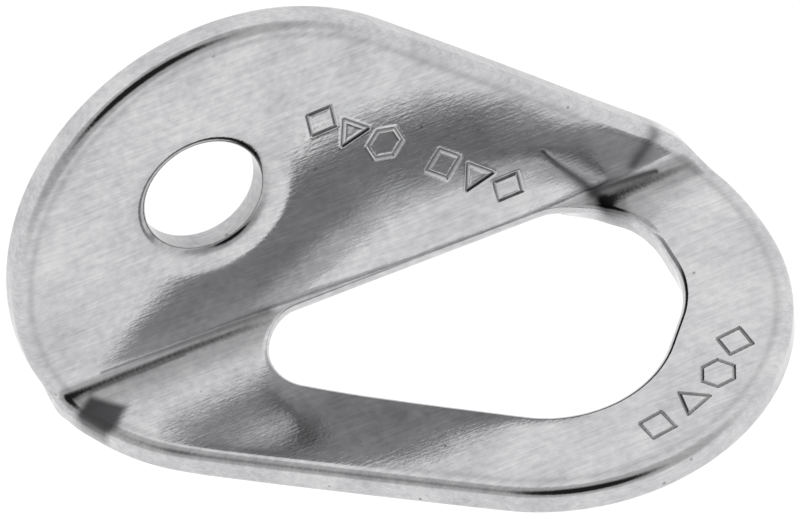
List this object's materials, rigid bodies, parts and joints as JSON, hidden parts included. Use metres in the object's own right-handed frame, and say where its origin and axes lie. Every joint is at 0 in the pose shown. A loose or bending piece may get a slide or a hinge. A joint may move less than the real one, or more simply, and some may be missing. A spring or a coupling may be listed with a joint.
{
  "type": "pad eye",
  "caption": "Pad eye folded from one oval steel plate: a mounting flange with a bolt hole, and a raised flange with a rounded eye opening for a shackle or snap hook.",
  "frame": {"origin": "centre of the bolt hole on the back face of the mounting flange, which is the face that lies against the deck or wall", "axes": "+Z along the bolt's axis, away from the deck; +X along the fold, towards the wide end of the eye; +Y from the fold towards the bolt hole"},
  "size_m": [0.0632, 0.0405, 0.032],
  "materials": {
    "tumbled_steel": "tumbled and polished, with fine scratches and small pits"
  },
  "bodies": {
    "root": {"folded_plate": "tumbled_steel"}
  },
  "joints": []
}
